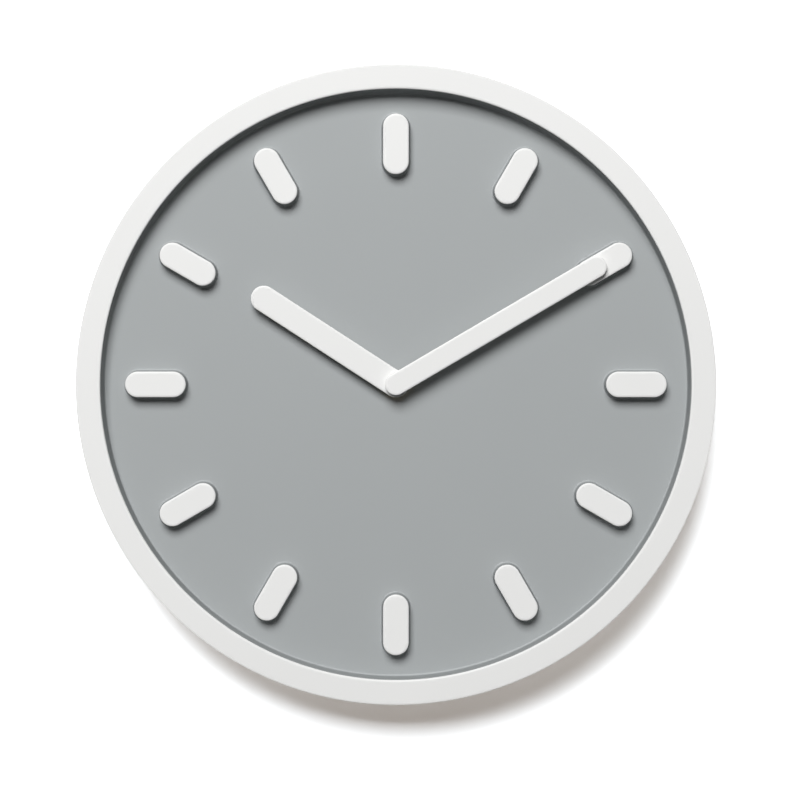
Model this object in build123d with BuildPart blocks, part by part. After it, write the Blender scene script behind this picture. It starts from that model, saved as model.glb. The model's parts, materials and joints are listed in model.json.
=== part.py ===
from build123d import *
import os
from math import atan2, cos, degrees, radians, sin, tan

os.makedirs("parts", exist_ok=True)

# Directions: x to the right, z up. The clock hangs with its rear rim on the plane y = 0 and faces -y.
# Lengths are millimetres. A height is a distance in front of the wall, so height h is at y = -h.

# Case
case_diameter = 360.0
case_depth = 34.0
shell_thickness = 2.4
shell_draft_degrees = 1.0
ring_width = 14.3
ring_thickness = 2.4
ring_outer_round = 1.0
ring_inner_round = 1.5

# Dial tray
dial_recess = 10.6
dial_thickness = 2.4
rim_lean = 1.1
rim_thickness = 2.2
rim_step = 0.2
rim_back_draft = 0.4
rim_foot_round = 0.9
rib_count = 12
rib_height = 7.0
rib_thickness = 1.8
rib_ring_radius = 78.0
rib_start_radius = 44.0
pocket_height = 5.0

# Hour markers
marker_count = 12
marker_length = 34.0
marker_width = 14.4
marker_edge_gap = 12.3
marker_height = 6.9
cap_thickness = 2.0
cap_round = 1.5
plinth_draft = 0.9
plinth_foot_round = 0.8
plinth_wall = 2.2
cap_pin_radius = 1.5
cap_pin_spacing = 18.0
cap_pin_length = 3.4

# Hands: the minute hand passes the middle of a marker, the hour hand stops short of the markers' inner ends.
# Their angles are clockwise from twelve.
minute_hand_overreach = 0.9
minute_hand_width = 12.1
minute_hand_thickness = 2.7
minute_hand_degrees = 59.6
hour_hand_shortfall = 22.4
hour_hand_width = 14.5
hour_hand_thickness = 3.1
hour_hand_degrees = 303.0
hand_skin = 1.2
hand_round = 1.5
hand_boss_wall = 1.2
marker_to_minute_hand = 0.7
hand_gap = 0.5

# Screws and hanger
screw_count = 6
screw_radius = 1.25
screw_head_radius = 3.0
screw_head_height = 1.5
screw_bite = 6.5
boss_radius = 3.2
gusset_thickness = 1.6
hanger_drop = 80.0
hanger_width = 54.0
hanger_length = 24.0
hanger_rise = 3.0
hanger_thickness = 1.2
hanger_setback = 2.0
hanger_corner = 3.0
hanger_screw_spacing = 42.0
tower_radius = 4.0
web_height = 8.0
keyhole_entry_radius = 4.5
keyhole_slot_radius = 2.2
keyhole_slot_rise = 7.5

# Movement, sized by the cell that it holds and by its gears
movement_corner = 3.0
movement_wall = 1.2
cover_thickness = 2.0
gasket_thickness = 0.8
gasket_radius = 12.0
bush_radius = 4.0
bush_flange_radius = 6.5
bush_flange_thickness = 0.8
washer_radius = 6.5
washer_thickness = 0.5
nut_width = 11.0
nut_height = 2.2
nut_show = 0.3
battery_radius = 7.15
battery_length = 49.5
battery_nub_radius = 2.7
battery_nub_length = 1.0
battery_round = 0.5
bay_gap = 0.15
bay_wall = 0.8
bay_lip = 0.35
leaf_room = 2.7
compartment_gap = 1.0
thumb_notch_width = 20.0

# Fits: a running gap round a turning shaft, a seat gap between seated pieces, a pass gap round a loose screw
running_gap = 0.05
seat_gap = 0.1
drop_gap = 0.5
pass_gap = 0.5

# Clock teeth: straight sides, sized as shares of the module, with room beside each tooth
tip_share = 0.85
root_share = 1.1
tip_half_width_share = 0.28
root_half_width_share = 0.72

# Gear train: modules, tooth counts, and the directions in which the arbors are laid out
train_module = 0.25
centre_module = 0.3
cannon_module = 0.5
hour_module = 0.4
rotor_teeth = 8
intermediate_teeth = 48
intermediate_pinion_teeth = 10
second_teeth = 50
second_pinion_teeth = 8
third_teeth = 60
third_pinion_teeth = 8
centre_teeth = 64
cannon_teeth = 12
minute_wheel_teeth = 36
minute_pinion_teeth = 12
hour_teeth = 48
setting_degrees = 0.0
third_degrees = 150.0
second_degrees = 70.0
intermediate_degrees = 0.0
rotor_degrees = 10.0
wheel_thickness = 0.8
pinion_length = 1.6
level_gap_total_share = 11.5
back_gap = 1.05
arbor_radius = 0.65
pivot_radius = 0.45
pivot_length = 0.8
minute_arbor_radius = 1.5
hour_pipe_wall = 0.95
setting_arbor_radius = 2.0
knob_radius = 7.0
knob_thickness = 2.3
knob_setback = 0.3
knob_flutes = 24
knob_flute_depth = 0.5

# Step motor and electrics
magnet_radius = 3.0
magnet_thickness = 2.6
stator_gap = 0.4
stator_thickness = 0.8
stator_lobe_wall = 1.6
stator_bar_width = 4.0
stator_half_length = 11.0
stator_foot_width = 4.4
core_thickness = 1.0
core_width = 3.0
coil_radius = 2.8
coil_gap = 0.5
bobbin_tube_radius = 2.0
bobbin_flange_radius = 3.1
bobbin_flange_thickness = 0.8
post_radius = 1.4
board_thickness = 1.0
board_length = 20.0
board_edge_gap = 0.8
board_rise = 0.5
crystal_radius = 1.0
crystal_length = 6.0
contact_thickness = 0.4
contact_width = 6.0
contact_arm_width = 1.2
contact_tab_length = 2.0

# Heights above the wall, from the front of the ring back to the movement
ring_front = case_depth
ring_back = ring_front - ring_thickness
dial_front = ring_front - dial_recess
dial_back = dial_front - dial_thickness
marker_top = dial_front + marker_height
cap_back = marker_top - cap_thickness
minute_hand_back = marker_top + marker_to_minute_hand
minute_hand_front = minute_hand_back + minute_hand_thickness
hour_hand_front = minute_hand_back - hand_gap
hour_hand_back = hour_hand_front - hour_hand_thickness
gasket_back = dial_back - gasket_thickness
movement_thickness = movement_wall + bay_gap + battery_radius * 2 + bay_lip
movement_back_height = gasket_back - movement_thickness
inside_front = gasket_back - movement_wall
inside_back = movement_back_height + cover_thickness
washer_front = dial_front + washer_thickness
nut_front = washer_front + nut_height
bush_front = nut_front + nut_show
hanger_front = hanger_setback + hanger_thickness

# Radii of the case and the tray
case_radius = case_diameter / 2
case_front_radius = case_radius - case_depth * tan(radians(shell_draft_degrees))
ring_inner_radius = case_radius - ring_width
dial_plate_radius = case_front_radius - shell_thickness - drop_gap
rim_inner_top = ring_inner_radius - rim_step
rim_inner_foot = rim_inner_top - rim_lean
rim_outer_top = rim_inner_top + rim_thickness
rim_outer_foot = rim_outer_top + rim_back_draft
screw_circle_radius = (rim_outer_foot + dial_plate_radius) / 2
screw_start_degrees = 180 / screw_count
marker_circle_radius = rim_inner_foot - marker_edge_gap - marker_length / 2
minute_hand_reach = marker_circle_radius + minute_hand_overreach
hour_hand_reach = marker_circle_radius - marker_length / 2 - hour_hand_shortfall
hanger_height = case_radius - hanger_drop

# Heights of the gear levels, from the front of the movement to its back, with equal gaps in what is left over
train_wheel_count = 6
pinion_overhang = (pinion_length - wheel_thickness) / 2
gear_room = inside_front - bush_flange_thickness - inside_back - back_gap - pinion_overhang
level_gap = (gear_room - wheel_thickness * train_wheel_count) / level_gap_total_share
hour_wheel_front = inside_front - bush_flange_thickness - level_gap
hour_wheel_back = hour_wheel_front - wheel_thickness
cannon_front = hour_wheel_back - level_gap
minute_wheel_front = cannon_front - level_gap
minute_wheel_back = minute_wheel_front - wheel_thickness
cannon_back = minute_wheel_back - level_gap
second_wheel_front = cannon_back - level_gap / 2
second_wheel_back = second_wheel_front - wheel_thickness
centre_wheel_front = second_wheel_back - level_gap * 2
centre_wheel_back = centre_wheel_front - wheel_thickness
third_wheel_front = centre_wheel_back - level_gap * 3
third_wheel_back = third_wheel_front - wheel_thickness
intermediate_wheel_front = third_wheel_back - level_gap * 2
intermediate_wheel_back = intermediate_wheel_front - wheel_thickness


def level(height):
    """Plane parallel to the wall at a height in front of it: x to the right, y up, facing the viewer."""
    return Plane.XZ.offset(height)


def beside(place, distance, direction):
    """Point at a distance from another point, in a direction given in degrees."""
    turn = radians(direction)
    return (place[0] + distance * cos(turn), place[1] + distance * sin(turn))


def direction_between(start, end):
    """Direction in degrees from one point to another."""
    return degrees(atan2(end[1] - start[1], end[0] - start[0]))


def mesh_distance(module, first_teeth, second_teeth_count):
    """Distance between the arbors of two gears that mesh."""
    return module * (first_teeth + second_teeth_count) / 2


def tip_radius(module, teeth):
    """Outer radius of a ring of teeth."""
    return module * teeth / 2 + module * tip_share


def gap_phase(start, end, teeth):
    """Phase that turns a tooth gap of the gear at start toward the gear at end."""
    return direction_between(start, end) + 180 / teeth


def tooth_outline(module, teeth, phase):
    """Corner points of the teeth about the origin, with one tooth centred on the phase in degrees."""
    pitch_radius = module * teeth / 2
    root = (pitch_radius - module * root_share, module * root_half_width_share)
    tip = (tip_radius(module, teeth), module * tip_half_width_share)
    points = []
    for index in range(teeth):
        middle = radians(phase + 360 * index / teeth)
        for radius, half_width, side in ((*root, -1), (*tip, -1), (*tip, 1), (*root, 1)):
            turn = middle + side * half_width / radius
            points.append((radius * cos(turn), radius * sin(turn)))
    return points


def turned(place, steps, bores=()):
    """Round part: each step is a radius between two heights, and each bore is cut out in the same way."""
    with BuildPart() as part:
        for radius, low, high in steps:
            with BuildSketch(level(low)):
                with Locations(place):
                    Circle(radius)
            extrude(amount=high - low)
        for radius, low, high in bores:
            with BuildSketch(level(low)):
                with Locations(place):
                    Circle(radius)
            extrude(amount=high - low, mode=Mode.SUBTRACT)
    return part


def geared(place, steps, gears, bores=()):
    """Round part with rings of teeth: each gear is module, teeth, phase and its two heights."""
    with BuildPart() as part:
        add(turned(place, steps).part)
        for module, teeth, phase, low, high in gears:
            with BuildSketch(level(low)):
                with Locations(place):
                    Polygon(*tooth_outline(module, teeth, phase), align=None)
            extrude(amount=high - low)
        for radius, low, high in bores:
            with BuildSketch(level(low)):
                with Locations(place):
                    Circle(radius)
            extrude(amount=high - low, mode=Mode.SUBTRACT)
    return part


def save(part, label):
    """Names a finished part and writes its STEP file."""
    part.part.label = label
    export_step(part.part, f"parts/{label}.step")


def corner(sketch, x, y):
    """Corner of a profile at a point."""
    return sketch.vertices().sort_by_distance((x, y, 0))[0]


# Places of the arbors, each set off from the one before by the distance at which the gears mesh
centre_place = (0, 0)
setting_place = beside(
    centre_place, mesh_distance(cannon_module, cannon_teeth, minute_wheel_teeth), setting_degrees
)
third_place = beside(
    centre_place, mesh_distance(centre_module, centre_teeth, third_pinion_teeth), third_degrees
)
second_place = beside(
    third_place, mesh_distance(train_module, third_teeth, second_pinion_teeth), second_degrees
)
intermediate_place = beside(
    second_place, mesh_distance(train_module, second_teeth, intermediate_pinion_teeth), intermediate_degrees
)
rotor_place = beside(
    intermediate_place, mesh_distance(train_module, intermediate_teeth, rotor_teeth), rotor_degrees
)

# Outline of the movement: the cell sets its width, the gears and the coil above them its height
stator_hole_radius = magnet_radius + stator_gap
stator_lobe_radius = stator_hole_radius + stator_lobe_wall
coil_middle = rotor_place[1] + stator_lobe_radius + coil_gap + bobbin_flange_radius
inside_top = coil_middle + bobbin_flange_radius + drop_gap
strip_bottom = -tip_radius(centre_module, centre_teeth) - compartment_gap - contact_thickness
bay_top = strip_bottom - bay_wall
battery_middle = bay_top - bay_gap - battery_radius
inside_bottom = battery_middle - battery_radius - bay_gap
inside_half_width = (battery_length + battery_nub_length + contact_thickness + leaf_room) / 2
movement_width = (inside_half_width + movement_wall) * 2
movement_top = inside_top + movement_wall
movement_bottom = inside_bottom - movement_wall
movement_height = movement_top - movement_bottom
movement_place = (0, (movement_top + movement_bottom) / 2)

# Case shell: front ring and drafted side wall in one moulding, with screw bosses behind the ring
with BuildPart() as case_shell:
    with BuildSketch(Plane.XY) as case_profile:
        with BuildLine():
            Polyline(
                (case_radius, 0),
                (case_front_radius, -ring_front),
                (ring_inner_radius, -ring_front),
                (ring_inner_radius, -ring_back),
                (case_front_radius - shell_thickness, -ring_back),
                (case_radius - shell_thickness, 0),
                close=True,
            )
        make_face()
        fillet(corner(case_profile, case_front_radius, -ring_front), ring_outer_round)
        fillet(corner(case_profile, ring_inner_radius, -ring_front), ring_inner_round)
    revolve(axis=Axis.Y)
    boss_back = dial_front + seat_gap
    gusset_length = case_front_radius - shell_thickness / 2 - screw_circle_radius
    with BuildSketch(level(boss_back)):
        with PolarLocations(screw_circle_radius, screw_count, start_angle=screw_start_degrees):
            Circle(boss_radius)
        gusset_circle_radius = screw_circle_radius + gusset_length / 2
        with PolarLocations(gusset_circle_radius, screw_count, start_angle=screw_start_degrees):
            Rectangle(gusset_length, gusset_thickness)
    extrude(amount=ring_back - boss_back)
    with BuildSketch(level(boss_back)):
        with PolarLocations(screw_circle_radius, screw_count, start_angle=screw_start_degrees):
            Circle(screw_radius + running_gap)
    extrude(amount=screw_bite + drop_gap, mode=Mode.SUBTRACT)
save(case_shell, "case_shell")


def marker_plane(index, height):
    """Plane at a marker's centre, with x pointing outward along the dial."""
    turn = radians(360 * index / marker_count)
    outward = (sin(turn), 0, cos(turn))
    origin = (marker_circle_radius * outward[0], -height, marker_circle_radius * outward[2])
    return Plane(origin=origin, x_dir=outward, z_dir=(0, -1, 0))


# Dial tray: dial, drafted rim wall, drafted plinths cored out from behind, ribs and hanger towers
hanger_screw_places = [
    (side * hanger_screw_spacing / 2, hanger_height + hanger_rise) for side in (-1, 1)
]
with BuildPart() as dial_tray:
    with BuildSketch(Plane.XY) as tray_profile:
        with BuildLine():
            Polyline(
                (0, -dial_back),
                (dial_plate_radius, -dial_back),
                (dial_plate_radius, -dial_front),
                (rim_outer_foot, -dial_front),
                (rim_outer_top, seat_gap - ring_back),
                (rim_inner_top, seat_gap - ring_back),
                (rim_inner_foot, -dial_front),
                (0, -dial_front),
                close=True,
            )
        make_face()
        fillet(corner(tray_profile, rim_inner_foot, -dial_front), rim_foot_round)
    revolve(axis=Axis.Y)
    for index in range(marker_count):
        with BuildSketch(marker_plane(index, dial_front)):
            SlotOverall(marker_length + plinth_draft * 2, marker_width + plinth_draft * 2)
        with BuildSketch(marker_plane(index, cap_back)):
            SlotOverall(marker_length, marker_width)
        loft(ruled=True)
    foot_edges = [
        edge
        for edge in dial_tray.edges().filter_by_position(Axis.Y, -dial_front, -dial_front)
        if Vector(edge.center().X, 0, edge.center().Z).length < marker_circle_radius + marker_length
        and edge.bounding_box().size.length < marker_length * 2
    ]
    fillet(foot_edges, plinth_foot_round)
    for index in range(marker_count):
        core_depth = cap_back - plinth_wall - dial_back
        with BuildSketch(marker_plane(index, dial_back)):
            SlotOverall(marker_length - plinth_wall * 2, marker_width - plinth_wall * 2)
        extrude(amount=core_depth, mode=Mode.SUBTRACT)
        with BuildSketch(marker_plane(index, cap_back)):
            with GridLocations(cap_pin_spacing, 0, 2, 1):
                Circle(cap_pin_radius + running_gap)
        extrude(amount=-plinth_wall, mode=Mode.SUBTRACT)
    with BuildSketch(level(dial_back - rib_height)):
        with PolarLocations((rib_start_radius + rim_inner_foot) / 2, rib_count, start_angle=180 / rib_count):
            Rectangle(rim_inner_foot - rib_start_radius, rib_thickness)
    extrude(amount=rib_height)
    with BuildSketch(level(dial_back - rib_height)):
        Circle(rib_ring_radius + rib_thickness / 2)
        Circle(rib_ring_radius - rib_thickness / 2, mode=Mode.SUBTRACT)
    extrude(amount=rib_height)
    pocket_width = movement_width + drop_gap * 2
    pocket_length = movement_height + drop_gap * 2
    pocket_walls = rib_thickness * 2
    outer_corner = movement_corner + rib_thickness
    with BuildSketch(level(dial_back - pocket_height)):
        with Locations(movement_place):
            RectangleRounded(pocket_width + pocket_walls, pocket_length + pocket_walls, outer_corner)
            RectangleRounded(pocket_width, pocket_length, movement_corner, mode=Mode.SUBTRACT)
    extrude(amount=pocket_height)
    with BuildSketch(level(hanger_front)):
        with Locations(*hanger_screw_places):
            Circle(tower_radius)
    extrude(amount=dial_back - hanger_front)
    with BuildSketch(level(dial_back - web_height)):
        with Locations((0, hanger_height + hanger_rise)):
            Rectangle(hanger_screw_spacing, rib_thickness)
    extrude(amount=web_height)
    with BuildSketch(level(hanger_front)):
        with Locations(*hanger_screw_places):
            Circle(screw_radius + running_gap)
    extrude(amount=screw_bite + drop_gap, mode=Mode.SUBTRACT)
    with BuildSketch(level(dial_back)):
        Circle(bush_radius + seat_gap)
        with PolarLocations(screw_circle_radius, screw_count, start_angle=screw_start_degrees):
            Circle(screw_radius + pass_gap)
    extrude(amount=dial_thickness, mode=Mode.SUBTRACT)
save(dial_tray, "dial_tray")

# Marker caps: white pill-shaped tops with two pins each that press into the plinth
for index in range(marker_count):
    with BuildPart() as marker_cap:
        with BuildSketch(marker_plane(index, cap_back)):
            SlotOverall(marker_length, marker_width)
        extrude(amount=cap_thickness)
        fillet(marker_cap.faces().sort_by(Axis.Y)[0].edges(), cap_round)
        with BuildSketch(marker_plane(index, cap_back)):
            with GridLocations(cap_pin_spacing, 0, 2, 1):
                Circle(cap_pin_radius)
        extrude(amount=-cap_pin_length)
    save(marker_cap, f"hour_marker_{(index - 1) % marker_count + 1:02d}")

# Screws: pan heads with plain shanks, one group behind the dial and one on the hanger plate
with BuildPart() as dial_screws:
    with BuildSketch(level(dial_back - screw_head_height)):
        with PolarLocations(screw_circle_radius, screw_count, start_angle=screw_start_degrees):
            Circle(screw_head_radius)
    extrude(amount=screw_head_height)
    with BuildSketch(level(dial_back)):
        with PolarLocations(screw_circle_radius, screw_count, start_angle=screw_start_degrees):
            Circle(screw_radius)
    extrude(amount=dial_thickness + screw_bite)
save(dial_screws, "dial_screws")

with BuildPart() as hanger_screws:
    with BuildSketch(level(hanger_setback - screw_head_height)):
        with Locations(*hanger_screw_places):
            Circle(screw_head_radius)
    extrude(amount=screw_head_height)
    with BuildSketch(level(hanger_setback)):
        with Locations(*hanger_screw_places):
            Circle(screw_radius)
    extrude(amount=hanger_thickness + screw_bite)
save(hanger_screws, "hanger_screws")

# Hanger plate: stamped steel with a keyhole for the wall screw
with BuildPart() as hanger_plate:
    with BuildSketch(level(hanger_setback)):
        with Locations((0, hanger_height + hanger_rise)):
            RectangleRounded(hanger_width, hanger_length, hanger_corner)
        with Locations((0, hanger_height)):
            Circle(keyhole_entry_radius, mode=Mode.SUBTRACT)
        with Locations((0, hanger_height + keyhole_slot_rise / 2)):
            SlotCenterToCenter(keyhole_slot_rise, keyhole_slot_radius * 2, rotation=90, mode=Mode.SUBTRACT)
        with Locations(*hanger_screw_places):
            Circle(screw_radius + pass_gap / 2, mode=Mode.SUBTRACT)
    extrude(amount=hanger_thickness)
save(hanger_plate, "hanger_plate")


def hand(reach, width, low, high, angle, boss_radius_out, bore_radius, hole_radius):
    """Moulded hand: a round-ended bar hollow at the back, with a boss round the collet at its pivot."""
    turn = radians(angle)
    outward = (sin(turn), 0, cos(turn))
    pivot_back = Plane(origin=(0, -low, 0), x_dir=outward, z_dir=(0, -1, 0))
    bar_length = reach + width / 2
    bar_centre = (reach - width / 2) / 2
    hollow_depth = high - low - hand_skin
    with BuildPart() as part:
        with BuildSketch(pivot_back):
            with Locations((bar_centre, 0)):
                SlotOverall(bar_length, width)
        extrude(amount=high - low)
        fillet(part.faces().sort_by(Axis.Y)[0].edges(), hand_round)
        with BuildSketch(pivot_back):
            with Locations((bar_centre, 0)):
                SlotOverall(bar_length - hand_skin * 2, width - hand_skin * 2)
        extrude(amount=hollow_depth, mode=Mode.SUBTRACT)
        with BuildSketch(pivot_back):
            Circle(boss_radius_out)
            Circle(bore_radius, mode=Mode.SUBTRACT)
        extrude(amount=hollow_depth)
        if hole_radius:
            with BuildSketch(pivot_back):
                Circle(hole_radius)
            extrude(amount=high - low, mode=Mode.SUBTRACT)
    return part


# Hands and their brass collets, pushed on the hour pipe and on the minute arbor
hour_pipe_radius = minute_arbor_radius + running_gap + hour_pipe_wall
hour_collet_radius = hour_pipe_radius + hand_boss_wall
minute_collet_radius = minute_arbor_radius + hand_boss_wall
hour_hand_inside = hour_hand_front - hand_skin
minute_hand_inside = minute_hand_front - hand_skin
hour_hand = hand(
    hour_hand_reach,
    hour_hand_width,
    hour_hand_back,
    hour_hand_front,
    hour_hand_degrees,
    hour_collet_radius + hand_boss_wall,
    hour_collet_radius,
    minute_arbor_radius + hand_gap,
)
minute_hand = hand(
    minute_hand_reach,
    minute_hand_width,
    minute_hand_back,
    minute_hand_front,
    minute_hand_degrees,
    minute_collet_radius + hand_boss_wall,
    minute_collet_radius,
    0,
)
save(hour_hand, "hour_hand")
save(minute_hand, "minute_hand")
hour_collet = turned(
    (0, 0),
    [(hour_collet_radius, hour_hand_back - hand_gap / 2, hour_hand_inside)],
    [(hour_pipe_radius, hour_hand_back - hand_gap / 2, hour_hand_inside)],
)
minute_collet = turned(
    (0, 0),
    [(minute_collet_radius, minute_hand_back - hand_gap / 2, minute_hand_inside)],
    [(minute_arbor_radius, minute_hand_back - hand_gap / 2, minute_hand_inside)],
)
save(hour_collet, "hour_collet")
save(minute_collet, "minute_collet")

# Bush, gasket, washer and nut that clamp the movement to the dial
bush_bore = hour_pipe_radius + running_gap
centre_bush = turned(
    (0, 0),
    [
        (bush_flange_radius, inside_front - bush_flange_thickness, inside_front),
        (bush_radius, inside_front, bush_front),
    ],
    [(bush_bore, inside_front - bush_flange_thickness, bush_front)],
)
gasket = turned(
    (0, 0),
    [(gasket_radius, gasket_back, dial_back)],
    [(bush_radius + seat_gap, gasket_back, dial_back)],
)
washer = turned(
    (0, 0),
    [(washer_radius, dial_front, washer_front)],
    [(bush_radius + seat_gap, dial_front, washer_front)],
)
with BuildPart() as hex_nut:
    with BuildSketch(level(washer_front)):
        RegularPolygon(nut_width / 2, 6, major_radius=False)
        Circle(bush_radius + running_gap, mode=Mode.SUBTRACT)
    extrude(amount=nut_height)
save(centre_bush, "centre_bush")
save(gasket, "gasket")
save(washer, "washer")
save(hex_nut, "hex_nut")

# Arbors run in blind pivot holes in the front wall and in the cover
arbor_front = inside_front - seat_gap
arbor_back = inside_back + seat_gap
pivot_front = inside_front + pivot_length - seat_gap
pivot_back = inside_back - pivot_length + seat_gap
running_arbor = [(arbor_radius, arbor_back, arbor_front), (pivot_radius, pivot_back, pivot_front)]

# Motion work: arbor with cannon pinion, hour wheel with its pipe, minute wheel on the setting arbor, knob
minute_arbor = geared(
    centre_place,
    [
        (pivot_radius, pivot_back, arbor_back),
        (arbor_radius, arbor_back, cannon_back),
        (minute_arbor_radius, cannon_back, minute_hand_inside),
    ],
    [
        (
            cannon_module,
            cannon_teeth,
            direction_between(centre_place, setting_place),
            cannon_back,
            cannon_front,
        )
    ],
)
hour_wheel = geared(
    centre_place,
    [(hour_pipe_radius, hour_wheel_back, hour_hand_inside)],
    [
        (
            hour_module,
            hour_teeth,
            direction_between(centre_place, setting_place),
            hour_wheel_back,
            hour_wheel_front,
        )
    ],
    [(minute_arbor_radius + running_gap, hour_wheel_back, hour_hand_inside)],
)
knob_front = movement_back_height - knob_setback
knob_back = knob_front - knob_thickness
minute_wheel = geared(
    setting_place,
    [
        (setting_arbor_radius, knob_back, minute_wheel_back),
        (arbor_radius, minute_wheel_back, arbor_front),
        (pivot_radius, arbor_front, pivot_front),
    ],
    [
        (
            cannon_module,
            minute_wheel_teeth,
            gap_phase(setting_place, centre_place, minute_wheel_teeth),
            minute_wheel_back,
            minute_wheel_front,
        ),
        (
            hour_module,
            minute_pinion_teeth,
            gap_phase(setting_place, centre_place, minute_pinion_teeth),
            minute_wheel_front,
            hour_wheel_front + pinion_overhang,
        ),
    ],
)
with BuildPart() as setting_knob:
    with BuildSketch(level(knob_back)):
        with Locations(setting_place):
            Circle(knob_radius)
            Circle(setting_arbor_radius, mode=Mode.SUBTRACT)
            with PolarLocations(knob_radius, knob_flutes):
                RegularPolygon(knob_flute_depth, 4, mode=Mode.SUBTRACT)
    extrude(amount=knob_thickness)
save(minute_arbor, "minute_arbor")
save(hour_wheel, "hour_wheel")
save(minute_wheel, "minute_wheel")
save(setting_knob, "setting_knob")

# Going train: centre wheel on the minute arbor, then third, second and intermediate wheels and the rotor
centre_wheel = geared(
    centre_place,
    [(minute_arbor_radius, centre_wheel_back - pinion_overhang, centre_wheel_front + pinion_overhang)],
    [
        (
            centre_module,
            centre_teeth,
            direction_between(centre_place, third_place),
            centre_wheel_back,
            centre_wheel_front,
        )
    ],
    [(arbor_radius, centre_wheel_back - pinion_overhang, centre_wheel_front + pinion_overhang)],
)
third_wheel = geared(
    third_place,
    running_arbor,
    [
        (
            centre_module,
            third_pinion_teeth,
            gap_phase(third_place, centre_place, third_pinion_teeth),
            centre_wheel_back - pinion_overhang,
            centre_wheel_front + pinion_overhang,
        ),
        (
            train_module,
            third_teeth,
            direction_between(third_place, second_place),
            third_wheel_back,
            third_wheel_front,
        ),
    ],
)
second_wheel = geared(
    second_place,
    running_arbor,
    [
        (
            train_module,
            second_pinion_teeth,
            gap_phase(second_place, third_place, second_pinion_teeth),
            third_wheel_back - pinion_overhang,
            third_wheel_front + pinion_overhang,
        ),
        (
            train_module,
            second_teeth,
            direction_between(second_place, intermediate_place),
            second_wheel_back,
            second_wheel_front,
        ),
    ],
)
intermediate_wheel = geared(
    intermediate_place,
    running_arbor,
    [
        (
            train_module,
            intermediate_pinion_teeth,
            gap_phase(intermediate_place, second_place, intermediate_pinion_teeth),
            second_wheel_back - pinion_overhang,
            second_wheel_front + pinion_overhang,
        ),
        (
            train_module,
            intermediate_teeth,
            direction_between(intermediate_place, rotor_place),
            intermediate_wheel_back,
            intermediate_wheel_front,
        ),
    ],
)
rotor_pinion = geared(
    rotor_place,
    [(pivot_radius, pivot_back, pivot_front)],
    [
        (
            train_module,
            rotor_teeth,
            gap_phase(rotor_place, intermediate_place, rotor_teeth),
            intermediate_wheel_back - pinion_overhang,
            intermediate_wheel_front + pinion_overhang,
        )
    ],
)
stator_back = centre_wheel_back - level_gap * 2
stator_front = stator_back + stator_thickness
magnet_back = (stator_back + stator_front - magnet_thickness) / 2
rotor_magnet = turned(
    rotor_place,
    [(magnet_radius, magnet_back, magnet_back + magnet_thickness)],
    [(pivot_radius, magnet_back, magnet_back + magnet_thickness)],
)
save(centre_wheel, "centre_wheel")
save(third_wheel, "third_wheel")
save(second_wheel, "second_wheel")
save(intermediate_wheel, "intermediate_wheel")
save(rotor_pinion, "rotor_pinion")
save(rotor_magnet, "rotor_magnet")

# Step motor: stator plate round the magnet, and the coil on its core across the two feet
core_place = (rotor_place[0], coil_middle)
foot_top = core_place[1] + core_width / 2
bar_bottom = rotor_place[1] + stator_lobe_radius - stator_bar_width
foot_places = [
    (rotor_place[0] + side * (stator_half_length - stator_foot_width / 2), (bar_bottom + foot_top) / 2)
    for side in (-1, 1)
]
with BuildPart() as stator:
    with BuildSketch(level(stator_back)):
        with Locations(rotor_place):
            Circle(stator_lobe_radius)
        with Locations((rotor_place[0], bar_bottom + stator_bar_width / 2)):
            Rectangle(stator_half_length * 2, stator_bar_width)
        with Locations(*foot_places):
            Rectangle(stator_foot_width, foot_top - bar_bottom)
        with Locations(rotor_place):
            Circle(stator_hole_radius, mode=Mode.SUBTRACT)
    extrude(amount=stator_thickness)
save(stator, "stator")

core_front = stator_front + core_thickness
core_middle = (stator_front + core_front) / 2
with BuildPart() as coil_core:
    with BuildSketch(level(stator_front)):
        with Locations(core_place):
            Rectangle(stator_half_length * 2, core_width)
    extrude(amount=core_thickness)
save(coil_core, "coil_core")

bobbin_half_length = stator_half_length - stator_foot_width - seat_gap
coil_half_length = bobbin_half_length - bobbin_flange_thickness
coil_centre = Plane(origin=(core_place[0], -core_middle, core_place[1]), x_dir=(0, 0, 1), z_dir=(1, 0, 0))
with BuildPart() as coil_bobbin:
    with BuildSketch(coil_centre):
        Circle(bobbin_tube_radius)
    extrude(amount=bobbin_half_length, both=True)
    with BuildSketch(coil_centre.offset(coil_half_length), coil_centre.offset(-bobbin_half_length)):
        Circle(bobbin_flange_radius)
    extrude(amount=bobbin_flange_thickness)
    with BuildSketch(coil_centre):
        Rectangle(core_width + running_gap * 2, core_thickness + running_gap * 2)
    extrude(amount=bobbin_half_length, both=True, mode=Mode.SUBTRACT)
with BuildPart() as coil_winding:
    with BuildSketch(coil_centre):
        Circle(coil_radius)
        Circle(bobbin_tube_radius, mode=Mode.SUBTRACT)
    extrude(amount=coil_half_length, both=True)
save(coil_bobbin, "coil_bobbin")
save(coil_winding, "coil_winding")

# Circuit board with its crystal, between the side wall and the third wheel
board_back = inside_back + board_rise
board_front = board_back + board_thickness
board_left = board_edge_gap - inside_half_width
board_right = third_place[0] - tip_radius(train_module, third_teeth) - compartment_gap
board_bottom = strip_bottom + contact_thickness + board_edge_gap
board_place = ((board_left + board_right) / 2, board_bottom + board_length / 2)
with BuildPart() as circuit_board:
    with BuildSketch(level(board_back)):
        with Locations(board_place):
            Rectangle(board_right - board_left, board_length)
    extrude(amount=board_thickness)
crystal_plane = Plane.XY.offset(board_place[1] - crystal_length / 2)
with BuildPart() as quartz_crystal:
    with BuildSketch(crystal_plane):
        with Locations((board_place[0], -board_front - crystal_radius)):
            Circle(crystal_radius)
    extrude(amount=crystal_length)
save(circuit_board, "circuit_board")
save(quartz_crystal, "quartz_crystal")

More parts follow.
